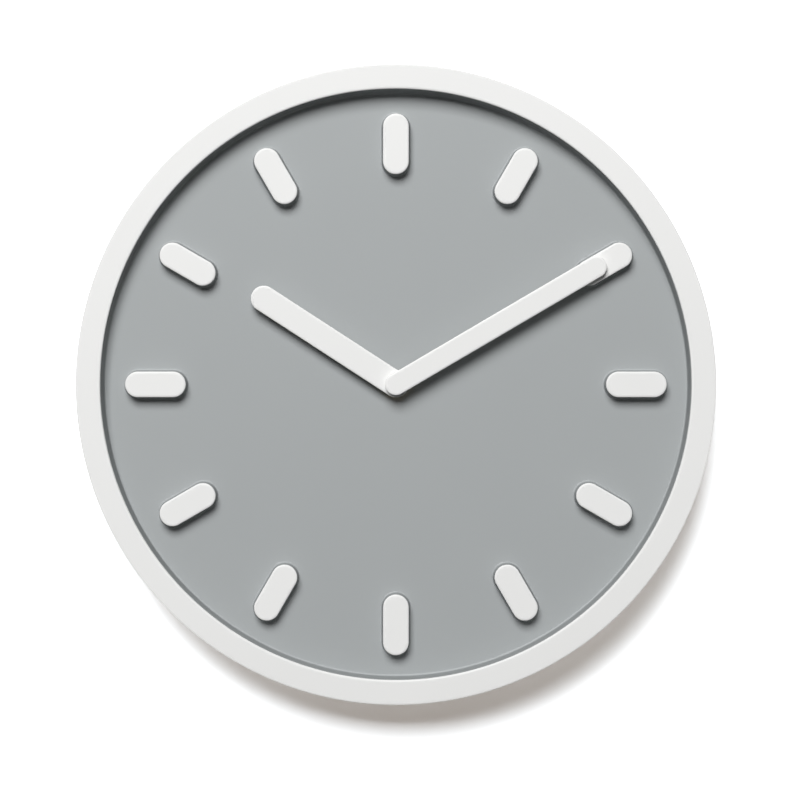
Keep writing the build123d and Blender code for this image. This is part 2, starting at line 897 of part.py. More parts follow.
# AA cell across the bottom of the movement, its positive end to the left
battery_height = inside_front - bay_gap - battery_radius
battery_left = contact_thickness - inside_half_width
battery_right = battery_left + battery_nub_length + battery_length
battery_end = Plane(origin=(battery_left, -battery_height, battery_middle), z_dir=(1, 0, 0))
with BuildPart() as battery:
    with BuildSketch(battery_end.offset(battery_nub_length)):
        Circle(battery_radius)
    extrude(amount=battery_length)
    fillet(battery.edges().filter_by(GeomType.CIRCLE), battery_round)
    with BuildSketch(battery_end):
        Circle(battery_nub_radius)
    extrude(amount=battery_nub_length)
save(battery, "battery")

# Battery contacts: a flat leaf at the positive end, a bowed leaf with a long arm at the negative end
leaf_back = battery_height - contact_width / 2
leaf_bottom = battery_middle - contact_width / 2
leaf_top = battery_middle + contact_width / 2
arm_top = board_bottom + contact_tab_length
strip_left = board_right - contact_tab_length
with BuildPart() as contact_positive:
    with BuildSketch(level(leaf_back)):
        with Locations((battery_left - contact_thickness / 2, battery_middle)):
            Rectangle(contact_thickness, contact_width)
    extrude(amount=contact_width)
    with BuildSketch(level(board_front)):
        with Locations((battery_left - contact_thickness / 2, (battery_middle + arm_top) / 2)):
            Rectangle(contact_thickness, arm_top - battery_middle)
    extrude(amount=contact_arm_width)
    with BuildSketch(level(board_front)):
        with Locations((board_left, arm_top - contact_tab_length / 2)):
            Rectangle(board_edge_gap * 2, contact_tab_length)
    extrude(amount=contact_thickness)
save(contact_positive, "contact_positive")

with BuildPart() as contact_negative:
    with BuildSketch(level(leaf_back)):
        with BuildLine():
            Polyline(
                (inside_half_width, leaf_bottom),
                (battery_right + contact_thickness, battery_middle),
                (inside_half_width, leaf_top),
                (inside_half_width - contact_thickness, leaf_top),
                (battery_right, battery_middle),
                (inside_half_width - contact_thickness, leaf_bottom),
                close=True,
            )
        make_face()
    extrude(amount=contact_width)
    with BuildSketch(level(board_front)):
        with Locations((inside_half_width - contact_thickness / 2, (battery_middle + strip_bottom) / 2)):
            Rectangle(contact_thickness, strip_bottom - battery_middle)
        with Locations(((strip_left + inside_half_width) / 2, strip_bottom + contact_thickness / 2)):
            Rectangle(inside_half_width - strip_left, contact_thickness)
    extrude(amount=contact_arm_width)
    with BuildSketch(level(board_front)):
        with Locations((strip_left + contact_tab_length / 2, (strip_bottom + arm_top) / 2)):
            Rectangle(contact_tab_length, arm_top - strip_bottom)
    extrude(amount=contact_thickness)
save(contact_negative, "contact_negative")

# Movement housing: a front tray with battery bay, pivot holes and posts, and a cover over the gears
pivot_places = [third_place, second_place, intermediate_place, rotor_place]
cover_height = movement_top - bay_top
with BuildPart() as movement_front:
    with BuildSketch(level(movement_back_height)):
        with Locations(movement_place):
            RectangleRounded(movement_width, movement_height, movement_corner)
    extrude(amount=movement_thickness)
    with BuildSketch(level(movement_back_height)):
        with Locations((0, (inside_top + strip_bottom) / 2)):
            Rectangle(inside_half_width * 2, inside_top - strip_bottom)
        with Locations((0, (bay_top + inside_bottom) / 2)):
            Rectangle(inside_half_width * 2, bay_top - inside_bottom)
    extrude(amount=inside_front - movement_back_height, mode=Mode.SUBTRACT)
    with BuildSketch(level(movement_back_height)):
        with Locations((0, movement_top - cover_height / 2)):
            Rectangle(movement_width, cover_height)
    extrude(amount=cover_thickness, mode=Mode.SUBTRACT)
    with BuildSketch(level(movement_back_height)):
        with Locations((0, movement_bottom)):
            Rectangle(thumb_notch_width, movement_wall * 2)
    extrude(amount=battery_radius, mode=Mode.SUBTRACT)
    with BuildSketch(level(inside_back)):
        with Locations((0, (bay_top + strip_bottom) / 2)):
            with GridLocations((inside_half_width - contact_thickness) * 2, 0, 2, 1):
                Rectangle(contact_thickness * 2, bay_wall * 2)
    extrude(amount=board_front + contact_arm_width + seat_gap - inside_back, mode=Mode.SUBTRACT)
    with BuildSketch(level(core_front)):
        with Locations(core_place):
            with GridLocations(stator_half_length * 2 - stator_foot_width, 0, 2, 1):
                Circle(post_radius)
    extrude(amount=inside_front - core_front)
    with BuildSketch(level(board_front)):
        with Locations((board_left + post_radius, board_place[1])):
            with GridLocations(0, board_length - post_radius * 6, 1, 2):
                Circle(post_radius)
    extrude(amount=inside_front - board_front)
    with BuildSketch(level(inside_front)):
        with Locations(*pivot_places, setting_place):
            Circle(pivot_radius + running_gap)
    extrude(amount=pivot_length, mode=Mode.SUBTRACT)
    with BuildSketch(level(inside_front)):
        Circle(bush_radius + running_gap)
    extrude(amount=movement_wall, mode=Mode.SUBTRACT)
save(movement_front, "movement_front")

cover_bottom = bay_top + seat_gap
with BuildPart() as movement_back:
    with BuildSketch(level(movement_back_height)) as cover_outline:
        with Locations((0, (movement_top + cover_bottom) / 2)):
            Rectangle(movement_width, movement_top - cover_bottom)
        fillet(cover_outline.vertices().group_by(Axis.Y)[-1], movement_corner)
    extrude(amount=cover_thickness)
    with BuildSketch(level(inside_back)):
        with Locations(*pivot_places, centre_place):
            Circle(pivot_radius + running_gap)
    extrude(amount=-pivot_length, mode=Mode.SUBTRACT)
    with BuildSketch(level(movement_back_height)):
        with Locations(setting_place):
            Circle(setting_arbor_radius + running_gap)
    extrude(amount=cover_thickness, mode=Mode.SUBTRACT)
save(movement_back, "movement_back")
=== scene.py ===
import json
from math import cos, radians, sin, tan

import bmesh
import bpy
import numpy as np
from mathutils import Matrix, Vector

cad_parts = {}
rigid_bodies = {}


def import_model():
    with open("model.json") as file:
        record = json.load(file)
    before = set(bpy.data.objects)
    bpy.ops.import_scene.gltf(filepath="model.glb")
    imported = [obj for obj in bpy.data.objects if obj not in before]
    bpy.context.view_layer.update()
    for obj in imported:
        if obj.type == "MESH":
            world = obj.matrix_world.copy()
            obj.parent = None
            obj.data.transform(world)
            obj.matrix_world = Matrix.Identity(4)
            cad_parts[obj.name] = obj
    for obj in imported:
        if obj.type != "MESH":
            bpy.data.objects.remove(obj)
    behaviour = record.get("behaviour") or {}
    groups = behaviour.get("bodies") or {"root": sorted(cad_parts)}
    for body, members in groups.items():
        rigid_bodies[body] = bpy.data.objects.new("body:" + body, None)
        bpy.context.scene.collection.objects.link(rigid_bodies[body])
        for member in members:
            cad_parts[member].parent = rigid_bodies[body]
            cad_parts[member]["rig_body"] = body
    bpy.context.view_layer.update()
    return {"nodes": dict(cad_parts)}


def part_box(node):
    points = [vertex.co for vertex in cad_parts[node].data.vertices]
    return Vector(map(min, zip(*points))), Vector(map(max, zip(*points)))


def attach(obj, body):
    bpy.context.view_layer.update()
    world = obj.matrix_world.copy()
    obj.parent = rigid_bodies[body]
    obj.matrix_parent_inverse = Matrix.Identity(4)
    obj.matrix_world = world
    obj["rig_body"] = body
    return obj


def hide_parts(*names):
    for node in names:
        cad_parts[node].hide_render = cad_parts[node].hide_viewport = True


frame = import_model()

nodes = frame["nodes"]

# Case shell: the white ring and side wall that carry everything else and rest on the wall of the room.
# It is one injection moulding in satin ABS, drafted so that it leaves its tool, with six screw bosses
# behind the ring and a fine eroded grain all over.


class Value:
    """One output in a material's nodes. Sums, differences and products of values add Math nodes."""

    def __init__(self, tree, socket):
        self.tree = tree
        self.socket = socket

    def node(self, kind, settings, inputs, output=0):
        """Adds a node: its settings come first, then each input takes a number, a colour or a link."""
        made = self.tree.nodes.new(kind)
        for name, setting in settings.items():
            setattr(made, name, setting)
        for name, given in inputs.items():
            if isinstance(given, Value):
                self.tree.links.new(given.socket, made.inputs[name])
            else:
                made.inputs[name].default_value = given
        return Value(self.tree, made.outputs[output])

    def math(self, operation, first, second):
        return self.node("ShaderNodeMath", {"operation": operation}, {0: first, 1: second})

    def __add__(self, other):
        return self.math("ADD", self, other)

    def __radd__(self, other):
        return self.math("ADD", other, self)

    def __sub__(self, other):
        return self.math("SUBTRACT", self, other)

    def __rsub__(self, other):
        return self.math("SUBTRACT", other, self)

    def __mul__(self, other):
        return self.math("MULTIPLY", self, other)

    def above(self, other):
        """1 where this value is above the other, else 0."""
        return self.math("GREATER_THAN", self, other)

    def larger(self, other):
        return self.math("MAXIMUM", self, other)

    def along(self, axis):
        """One of the three coordinates X, Y and Z."""
        return self.node("ShaderNodeSeparateXYZ", {}, {0: self}, axis)

    def scaled(self, factors):
        """Coordinates scaled about the origin, which squeezes a pattern along an axis."""
        return self.node("ShaderNodeMapping", {}, {"Vector": self, "Scale": factors})

    def noise(self, size_m, detail=2.0):
        """Soft noise from 0 to 1 with patches of about the given size."""
        inputs = {"Vector": self, "Scale": 1 / size_m, "Detail": detail}
        return self.node("ShaderNodeTexNoise", {}, inputs)

    def mix(self, first, second):
        """A colour between two, this value being the share of the second."""
        return self.node("ShaderNodeMix", {"data_type": "RGBA"}, {0: self, 6: first, 7: second}, 2)

    def bump(self, depth_m):
        """A normal for relief of the given depth, this value being its height from 0 to 1."""
        return self.node("ShaderNodeBump", {}, {"Strength": 1.0, "Distance": depth_m, "Height": self})


def new_material(name):
    """A material with a plain shader, and the coordinates of the object that it will cover."""
    material = bpy.data.materials.new(name)
    material.use_nodes = True
    tree = material.node_tree
    place = Value(tree, tree.nodes.new("ShaderNodeTexCoord").outputs["Object"])
    return material, place


def surface(material, **inputs):
    """Sets the shader's sockets: constants on the sockets themselves, varying values by links."""
    tree = material.node_tree
    shader = tree.nodes["Principled BSDF"]
    for name, given in inputs.items():
        socket = shader.inputs[name.replace("_", " ")]
        if isinstance(given, Value):
            tree.links.new(given.socket, socket)
        else:
            socket.default_value = given


def shaded(colour, share):
    """An opaque colour darkened to a share of itself."""
    return tuple(share * part for part in colour) + (1.0,)


def moulded_plastic(name, colour, roughness, grain_depth_m, shine=0.5, painted_shade=None):
    """Moulded plastic: a faint cloudy flow in colour and gloss, and a fine eroded grain in relief.

    The last argument, if given, is a mask from the place: 1 on steep faces, where the colour is painted
    darker as painted shade, and 0 elsewhere.
    """
    flow_size_m = 0.05
    flow_detail = 3.0
    grain_size_m = 0.0006
    flow_shade_share = 0.97
    painted_wall_shade_share = 0.68
    gloss_range = 0.08
    mean_noise = 0.5
    material, place = new_material(name)
    flow = place.noise(flow_size_m, flow_detail)
    grain = place.noise(grain_size_m)
    flow_tone_and_painted_shade = flow.mix(shaded(colour, 1.0), shaded(colour, flow_shade_share))
    # Painted shade: where the mask is 1, the colour falls to a darker copy of itself.
    if painted_shade:
        flow_tone_and_painted_shade = painted_shade(place).mix(flow_tone_and_painted_shade, shaded(colour, painted_wall_shade_share))
    surface(
        material,
        Base_Color=flow_tone_and_painted_shade,
        Roughness=roughness + (grain - mean_noise) * gloss_range,
        Specular_IOR_Level=shine,
        Normal=grain.bump(grain_depth_m),
    )
    return material


def rounded_profile(corners, rounds_m):
    """Outline as (radius, distance) pairs: a corner with a round becomes an arc that touches both sides.

    The arc of radius r starts r / tan(half the corner angle) before the corner, and its centre lies
    r / sin(half the corner angle) along the line that halves the corner.
    """
    arc_steps = 9
    corners = np.array(corners, float)
    points = []
    for index, corner_point in enumerate(corners):
        round_m = rounds_m.get(index, 0)
        if not round_m:
            points.append(corner_point[None])
            continue
        back = corners[index - 1] - corner_point
        ahead = corners[(index + 1) % len(corners)] - corner_point
        back /= np.linalg.norm(back)
        ahead /= np.linalg.norm(ahead)
        half_turn = np.arccos(back @ ahead) / 2
        middle = back + ahead
        centre = corner_point + middle / np.linalg.norm(middle) * round_m / np.sin(half_turn)
        start = corner_point + back * round_m / np.tan(half_turn) - centre
        end = corner_point + ahead * round_m / np.tan(half_turn) - centre
        first = np.arctan2(start[1], start[0])
        sweep = np.arctan2(start[0] * end[1] - start[1] * end[0], start @ end)
        turns = first + sweep * np.linspace(0, 1, arc_steps)
        points.append(centre + round_m * np.stack([np.cos(turns), np.sin(turns)], 1))
    return np.concatenate(points)


def turned_surface(outline, segments, centre=(0, 0, 0), axis="y", closed=True):
    """Surface of revolution about an axis along y or x through a centre.

    Each point (radius, distance) of the outline goes round as (radius cos a, distance, radius sin a),
    with the first two exchanged for the x axis. The last point of a closed outline joins the first; an
    open one starts and ends on the axis.
    """
    turns = np.linspace(0, 2 * np.pi, segments, endpoint=False)
    radius, distance = outline[:, 0], outline[:, 1]
    grid = np.stack(
        [
            np.outer(np.cos(turns), radius),
            np.outer(np.ones(segments), distance),
            np.outer(np.sin(turns), radius),
        ],
        2,
    )
    if axis == "x":
        grid = grid[:, :, [1, 0, 2]]
    count = len(outline)
    along = np.arange(count if closed else count - 1)
    this_turn = np.arange(segments)[:, None] * count
    next_turn = np.roll(this_turn, -1, axis=0)
    ahead = (along + 1) % count
    faces = np.stack([this_turn + along, this_turn + ahead, next_turn + ahead, next_turn + along], 2)
    return grid.reshape(-1, 3) + np.array(centre), faces.reshape(-1, 4)


def box_surface(centre, size, turn=0):
    """Closed box about a centre (x, y, z): its eight corners, turned about the clock's own axis."""
    signs = np.array([(-1, -1), (1, -1), (1, 1), (-1, 1)] * 2)
    x = centre[0] + signs[:, 0] * size[0] / 2
    z = centre[2] + signs[:, 1] * size[2] / 2
    y = centre[1] + np.repeat([-1, 1], 4) * size[1] / 2
    points = np.stack([x * np.cos(turn) - z * np.sin(turn), y, x * np.sin(turn) + z * np.cos(turn)], 1)
    near_and_far = [(0, 1, 2, 3), (7, 6, 5, 4)]
    sides = [(0, 4, 5, 1), (1, 5, 6, 2), (2, 6, 7, 3), (3, 7, 4, 0)]
    return points, np.array(near_and_far + sides)


def finished_piece(name, made, material, node, stands_for_node, round_m=0):
    """Puts a bmesh in the scene on a CAD node's body, smooth but for sharp edges and flats."""
    sharp_degrees = 35
    round_segments = 2
    mesh = bpy.data.meshes.new(name)
    made.to_mesh(mesh)
    made.free()
    mesh.materials.append(material)
    mesh.shade_smooth()
    mesh.set_sharp_from_angle(angle=radians(sharp_degrees))
    piece = bpy.data.objects.new(name, mesh)
    bpy.context.scene.collection.objects.link(piece)
    if round_m:
        rounds = piece.modifiers.new("edge rounds", "BEVEL")
        rounds.width = round_m
        rounds.segments = round_segments
        rounds.limit_method = "ANGLE"
        rounds.angle_limit = radians(sharp_degrees)
    flats = piece.modifiers.new("flat faces stay flat", "WEIGHTED_NORMAL")
    flats.keep_sharp = True
    if stands_for_node:
        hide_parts(node)
    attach(piece, nodes[node]["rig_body"])


def new_piece(name, surfaces, material, node, stands_for_node=True):
    """A piece from numpy surfaces, with doubled points merged and all faces turned outward."""
    starts = np.cumsum([0] + [len(points) for points, _ in surfaces[:-1]])
    points = np.concatenate([points for points, _ in surfaces])
    faces = np.concatenate([faces + start for (_, faces), start in zip(surfaces, starts)])
    mesh = bpy.data.meshes.new(name)
    mesh.from_pydata(points.tolist(), [], faces.tolist())
    made = bmesh.new()
    made.from_mesh(mesh)
    bpy.data.meshes.remove(mesh)
    bmesh.ops.remove_doubles(made, verts=made.verts, dist=merge_distance_m)
    bmesh.ops.recalc_face_normals(made, faces=made.faces)
    finished_piece(name, made, material, node, stands_for_node)


merge_distance_m = 1e-6
white_colour = (0.81, 0.81, 0.80)
satin_roughness = 0.42
satin_shine = 0.2
fine_grain_m = 0.00001
white_plastic = moulded_plastic(
    "moulded_white", white_colour, satin_roughness, fine_grain_m, satin_shine
)

case_radius_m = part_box("case_shell")[1].x
ring_front_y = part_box("case_shell")[0].y
shell_m = 0.0024
ring_width_m = 0.0143
rear_round_m = 0.0004
crown_width_m = 0.0014
crown_drop_m = 0.00045
outer_drop_m = 0.00018
crown_steps = 12
shell_draft = radians(1.0)
ring_segments = 720
front_radius_m = case_radius_m + ring_front_y * tan(shell_draft)


def crowned_edge(edge_m, front_y, inward, drop_m):
    """Soft edge of a white moulding, from its side to its front: a quarter of an ellipse.

    Over a quarter turn t the radius is edge - inward * width * (1 - cos t), and the front lies
    drop * (1 - sin t) ahead.
    """
    turns = np.linspace(0, np.pi / 2, crown_steps)
    radius = edge_m - inward * crown_width_m * (1 - np.cos(turns))
    distance = front_y + drop_m * (1 - np.sin(turns))
    return np.stack([radius, distance], 1)


ring_inner_m = case_radius_m - ring_width_m
ring_back_y = ring_front_y + shell_m
case_corners = [
    (case_radius_m, 0),
    *crowned_edge(front_radius_m, ring_front_y, 1, outer_drop_m),
    *crowned_edge(ring_inner_m, ring_front_y, -1, crown_drop_m)[::-1],
    (ring_inner_m, ring_back_y),
    (front_radius_m - shell_m, ring_back_y),
    (case_radius_m - shell_m, 0),
]
case_outline = rounded_profile(case_corners, {0: rear_round_m, len(case_corners) - 1: rear_round_m})

boss_radius_m = 0.0032
pilot_radius_m = 0.0013
pilot_depth_m = 0.007
boss_segments = 48
boss_end_y = -0.0235
boss_root_y = ring_back_y - shell_m / 2
screw_head_radius_m = 0.003
screw_circle_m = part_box("dial_screws")[1].z - screw_head_radius_m
screw_count = 6
half_step = 0.5
screw_turns = np.radians(360 / screw_count * (np.arange(screw_count) + half_step))
boss_outline = np.array(
    [
        (0, boss_root_y),
        (boss_radius_m, boss_root_y),
        (boss_radius_m, boss_end_y),
        (pilot_radius_m, boss_end_y),
        (pilot_radius_m, boss_end_y - pilot_depth_m),
        (0, boss_end_y - pilot_depth_m),
    ]
)
gusset_m = 0.0016
gusset_length_m = front_radius_m - shell_m / 2 - screw_circle_m
gusset_centre = (screw_circle_m + gusset_length_m / 2, (boss_end_y + boss_root_y) / 2, 0)
gusset_size = (gusset_length_m, boss_end_y - boss_root_y, gusset_m)
case_parts = [turned_surface(case_outline, ring_segments)]
for turn in screw_turns:
    boss_centre = (screw_circle_m * cos(turn), 0, screw_circle_m * sin(turn))
    case_parts.append(turned_surface(boss_outline, boss_segments, boss_centre, closed=False))
    case_parts.append(box_surface(gusset_centre, gusset_size, turn))
new_piece("case_moulding", case_parts, white_plastic, "case_shell")

# Dial tray: the grey dial with its rim wall, the markers' plinths and, behind, ribs and hanger towers.
# It is one moulding in satin ABS, coloured in the mass, screwed to the case from behind.
# Its rim wall and the plinths' flanks are painted darker than the dial's face: painted shade, set by height
# above the dial.


def painted_shade_on_tray(place):
    """Share of painted shade: 0 on the dial's face and the rounds at the feet of its rim wall and plinths,
    1 on the rim wall and the plinths' flanks.
    """
    height = dial_front_y - place.along("Y")
    limits = {"Value": height, "From Min": foot_round_m, "From Max": 2 * foot_round_m}
    return place.node("ShaderNodeMapRange", {}, limits)


def dress(material, *names):
    """Gives one or several CAD nodes a material."""
    for name in names:
        piece = nodes[name]
        piece.data.materials.clear()
        piece.data.materials.append(material)


dial_colour = (0.365, 0.383, 0.387)
dial_recess_m = 0.0106
dial_front_y = ring_front_y + dial_recess_m
foot_round_m = 0.0009
grey_plastic = moulded_plastic(
    "moulded_grey", dial_colour, satin_roughness, fine_grain_m, satin_shine, painted_shade_on_tray
)
dress(grey_plastic, "dial_tray")

# Hour markers: twelve white caps with soft edges, moulded in the same ABS as the case.
# Each is pressed into its grey plinth by two pins, whose ends show at the back of the tray.


def bar_surface(outline, straight_m, start_m, turn, closed=False):
    """Round-ended bar that points away from the clock's axis, at an angle clockwise from twelve.

    A turned surface is pulled apart by a straight length: points with cos a > 0 move along x by it. The
    length is one number, or one for each point of the outline. Then x is swung to (sin turn, cos turn).
    """
    points, faces = turned_surface(outline, bar_segments, closed=closed)
    grid = points.reshape(bar_segments, len(outline), 3)
    ahead = np.cos(np.linspace(0, 2 * np.pi, bar_segments, endpoint=False)) > 0
    grid[ahead, :, 0] += straight_m
    along = points[:, 0] + start_m
    across = points[:, 2]
    x = along * sin(turn) + across * cos(turn)
    z = along * cos(turn) - across * sin(turn)
    return np.stack([x, points[:, 1], z], 1), faces


bar_segments = 98
marker_count = 12
marker_low, marker_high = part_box("hour_marker_12")
marker_width_m = marker_high.x - marker_low.x
marker_length_m = marker_high.z - marker_low.z
marker_straight_m = marker_length_m - marker_width_m
marker_circle_m = (marker_low.z + marker_high.z) / 2
marker_start_m = marker_circle_m - marker_straight_m / 2
cap_thickness_m = 0.002
cap_back_y = marker_low.y + cap_thickness_m
pin_radius_m = 0.0015
pin_spacing_m = 0.018
pin_segments = 32
pin_root_y = cap_back_y - cap_thickness_m / 2
cap_outline = np.concatenate(
    [
        [(0, cap_back_y), (marker_width_m / 2, cap_back_y)],
        crowned_edge(marker_width_m / 2, marker_low.y, 1, crown_drop_m),
        [(0, marker_low.y)],
    ]
)
pin_outline = np.array(
    [(0, pin_root_y), (pin_radius_m, pin_root_y), (pin_radius_m, marker_high.y), (0, marker_high.y)]
)
for index in range(marker_count):
    turn = radians(360 / marker_count * index)
    cap_parts = [bar_surface(cap_outline, marker_straight_m, marker_start_m, turn)]
    for side in (-1, 1):
        pin_m = marker_circle_m + side * pin_spacing_m / 2
        pin_place = (pin_m * sin(turn), 0, pin_m * cos(turn))
        cap_parts.append(turned_surface(pin_outline, pin_segments, pin_place, closed=False))
    hour = (index - 1) % marker_count + 1
    new_piece(f"marker_cap_{hour:02d}", cap_parts, white_plastic, f"hour_marker_{hour:02d}")

# Screws: pan-head thread-forming screws in zinc-plated steel, a cross recess pressed into each head.
# Six hold the tray to the bosses of the case and two hold the hanger plate to its towers.


def bright_metal(name, colour, roughness, squeeze=(1.0, 1.0, 1.0)):
    """Plated or turned metal: cloudy plating in colour and gloss, with fine scratches in relief."""
    cloud_size_m = 0.004
    cloud_detail = 4.0
    scratch_size_m = 0.0003
    scratch_depth_m = 0.000004
    cloud_shade_share = 0.75
    gloss_range = 0.18
    material, place = new_material(name)
    cloud = place.noise(cloud_size_m, cloud_detail)
    scratch = place.scaled(squeeze).noise(scratch_size_m)
    surface(
        material,
        Base_Color=cloud.mix(shaded(colour, 1.0), shaded(colour, cloud_shade_share)),
        Metallic=1.0,
        Roughness=roughness + cloud * gloss_range,
        Normal=scratch.bump(scratch_depth_m),
    )
    return material


def arm_mask(along, across, reach_m, half_width_m, slope_m):
    """1 inside an arm that reaches both ways from the middle, with a slope to 0 inside its edges."""
    by_width = np.clip((half_width_m - np.abs(across)) / slope_m, 0, 1)
    by_reach = np.clip((reach_m - np.abs(along)) / slope_m, 0, 1)
    return by_width * by_reach


def pan_screw(place, head_y, tip_y, turn):
    """Pan-head screw along y: a turned outline from the crown of its head, at the rear, to its tip.

    The crown falls with the square of the radius, and inside a cross of two arms by its depth too.
    """
    segments = 72
    head_steps = 30
    crown_sag_m = 0.00025
    head_height_m = 0.0015
    head_round_m = 0.0005
    shank_radius_m = 0.00125
    tip_length_m = 0.0012
    cross_reach_m = 0.0016
    cross_half_width_m = 0.00048
    cross_slope_m = 0.0002
    cross_depth_m = 0.0008
    rim_round_share = 0.98
    seat_y = head_y - head_height_m
    crown = np.linspace(0, screw_head_radius_m - head_round_m, head_steps)
    crown_y = head_y - crown_sag_m * (crown / screw_head_radius_m) ** 2
    side = rounded_profile(
        [
            (crown[-1], crown_y[-1]),
            (screw_head_radius_m, crown_y[-1]),
            (screw_head_radius_m, seat_y),
            (shank_radius_m, seat_y),
            (shank_radius_m, tip_y + tip_length_m),
            (0, tip_y),
        ],
        {1: head_round_m * rim_round_share},
    )
    outline = np.concatenate([np.stack([crown, crown_y], 1), side[1:]])
    points, faces = turned_surface(outline, segments, (place[0], 0, place[1]), closed=False)
    grid = points.reshape(segments, len(outline), 3)
    x = grid[:, :head_steps, 0] - place[0]
    z = grid[:, :head_steps, 2] - place[1]
    along = x * cos(turn) + z * sin(turn)
    across = z * cos(turn) - x * sin(turn)
    arms = [
        arm_mask(one, other, cross_reach_m, cross_half_width_m, cross_slope_m)
        for one, other in ((along, across), (across, along))
    ]
    grid[:, :head_steps, 1] -= cross_depth_m * np.maximum(*arms)
    return grid.reshape(-1, 3), faces


zinc_colour = (0.62, 0.63, 0.64)
zinc_roughness = 0.22
steel = bright_metal("zinc_plated_steel", zinc_colour, zinc_roughness)
screw_step = radians(37)
dial_screw_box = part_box("dial_screws")
dial_screw_parts = [
    pan_screw(
        (screw_circle_m * cos(turn), screw_circle_m * sin(turn)),
        dial_screw_box[1].y,
        dial_screw_box[0].y,
        screw_step * index,
    )
    for index, turn in enumerate(screw_turns)
]
new_piece("tray_screws", dial_screw_parts, steel, "dial_screws")

hanger_screw_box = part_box("hanger_screws")
hanger_screw_z = (hanger_screw_box[0].z + hanger_screw_box[1].z) / 2
hanger_screw_x = hanger_screw_box[1].x - screw_head_radius_m
hanger_screw_parts = [
    pan_screw(
        (side * hanger_screw_x, hanger_screw_z),
        hanger_screw_box[1].y,
        hanger_screw_box[0].y,
        screw_step * side,
    )
    for side in (-1, 1)
]
new_piece("plate_screws", hanger_screw_parts, steel, "hanger_screws")

# Hanger plate: a keyhole plate stamped from zinc-plated steel sheet, with the sheet's rolling lines
# across it. It is screwed to two towers of the tray, and hangs on one screw in the wall.


def softened_copy(name, material, node, round_m):
    """A copy of a CAD node with its flat faces made whole again and its sharp edges rounded."""
    flat_degrees = 0.5
    made = bmesh.new()
    made.from_mesh(nodes[node].data)
    bmesh.ops.remove_doubles(made, verts=made.verts, dist=merge_distance_m)
    flat = radians(flat_degrees)
    bmesh.ops.dissolve_limit(made, angle_limit=flat, verts=made.verts, edges=made.edges)
    finished_piece(name, made, material, node, True, round_m)


sheet_colour = (0.56, 0.57, 0.58)
sheet_roughness = 0.3
rolling_squeeze = (0.04, 1.0, 1.0)
stamped_round_m = 0.0002
rolled_steel = bright_metal("rolled_steel", sheet_colour, sheet_roughness, rolling_squeeze)
softened_copy("keyhole_plate", rolled_steel, "hanger_plate", stamped_round_m)

# Movement housing: a black moulded tray with the battery bay, and a cover over the gears.
# Both are fine-textured ABS. The cover carries moulded signs for the cell's poles and the setting knob.

housing_colour = (0.028, 0.028, 0.030)
housing_roughness = 0.4
coarse_grain_m = 0.00002
housing_round_m = 0.00025
black_plastic = moulded_plastic("moulded_black", housing_colour, housing_roughness, coarse_grain_m)
softened_copy("movement_tray", black_plastic, "movement_front", housing_round_m)
softened_copy("movement_cover", black_plastic, "movement_back", housing_round_m)


def raised_strip(path, half_width_m, low_y, high_y):
    """Raised strip between two heights: at each point (x, z) of a path it reaches half its width each way.

    The side of the path is its direction turned by a quarter. The four corners at each point are joined
    to the next point's, and both ends are closed.
    """
    path = np.array(path, float)
    ahead = np.gradient(path, axis=0)
    ahead /= np.linalg.norm(ahead, axis=1, keepdims=True)
    side = np.stack([-ahead[:, 1], ahead[:, 0]], 1) * np.reshape(half_width_m, (-1, 1))
    left, right = path + side, path - side
    corners = [(left, low_y), (right, low_y), (right, high_y), (left, high_y)]
    points = np.stack([np.insert(edge, 1, y, axis=1) for edge, y in corners], 1)
    round_once = len(corners)
    corner = np.arange(round_once)
    starts = np.arange(len(path) - 1)[:, None] * round_once
    here = starts + corner
    beside = starts + (corner + 1) % round_once
    sides = np.stack([here, beside, beside + round_once, here + round_once], 2)
    first_end = corner[None]
    last_end = corner[None, ::-1] + starts[-1] + round_once
    faces = np.concatenate([sides.reshape(-1, 4), first_end, last_end])
    return points.reshape(-1, 3), faces


cover_low, cover_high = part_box("movement_back")
knob_low, knob_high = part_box("setting_knob")
knob_x = (knob_low.x + knob_high.x) / 2
knob_z = (knob_low.z + knob_high.z) / 2
sign_root_m = 0.0001
sign_height_m = 0.0002
sign_low_y = cover_high.y - sign_root_m
sign_high_y = cover_high.y + sign_height_m
sign_half_m = 0.002
sign_line_half_m = 0.0004
sign_inset_m = 0.0045
plus_x = cover_low.x + sign_inset_m
minus_x = cover_high.x - sign_inset_m
sign_z = cover_low.z + sign_inset_m
strokes = [
    ((plus_x - sign_half_m, sign_z), (plus_x + sign_half_m, sign_z)),
    ((plus_x, sign_z + sign_line_half_m), (plus_x, sign_z + sign_half_m)),
    ((plus_x, sign_z - sign_half_m), (plus_x, sign_z - sign_line_half_m)),
    ((minus_x - sign_half_m, sign_z), (minus_x + sign_half_m, sign_z)),
]
sign_parts = [raised_strip(stroke, sign_line_half_m, sign_low_y, sign_high_y) for stroke in strokes]
arrow_radius_m = 0.0092
arrow_head_half_m = 0.0012
arrow_head_share = 0.16
arrow_neck_share = 0.001
arrow_tip_share = 0.125
arrow_steps = 24
arrow_from, arrow_to = radians(35), radians(145)
shaft_share = arrow_head_share + arrow_neck_share
arrow_shares = np.concatenate(
    [
        (0, arrow_head_share),
        np.linspace(shaft_share, 1 - shaft_share, arrow_steps),
        (1 - arrow_head_share, 1),
    ]
)
arrow_turns = arrow_from + (arrow_to - arrow_from) * arrow_shares
arrow_path = np.stack(
    [knob_x + arrow_radius_m * np.cos(arrow_turns), knob_z + arrow_radius_m * np.sin(arrow_turns)], 1
)
arrow_half = np.full(len(arrow_shares), sign_line_half_m)
arrow_half[[0, -1]] = sign_line_half_m * arrow_tip_share
arrow_half[[1, -2]] = arrow_head_half_m
sign_parts.append(raised_strip(arrow_path, arrow_half, sign_low_y, sign_high_y))
new_piece("cover_signs", sign_parts, black_plastic, "movement_back", stands_for_node=False)

# Setting knob: a small fluted wheel in glossier grey plastic, pushed on the arbor that turns the hands.
# Its rim is cut with round flutes for the fingertip, and its face is dished.

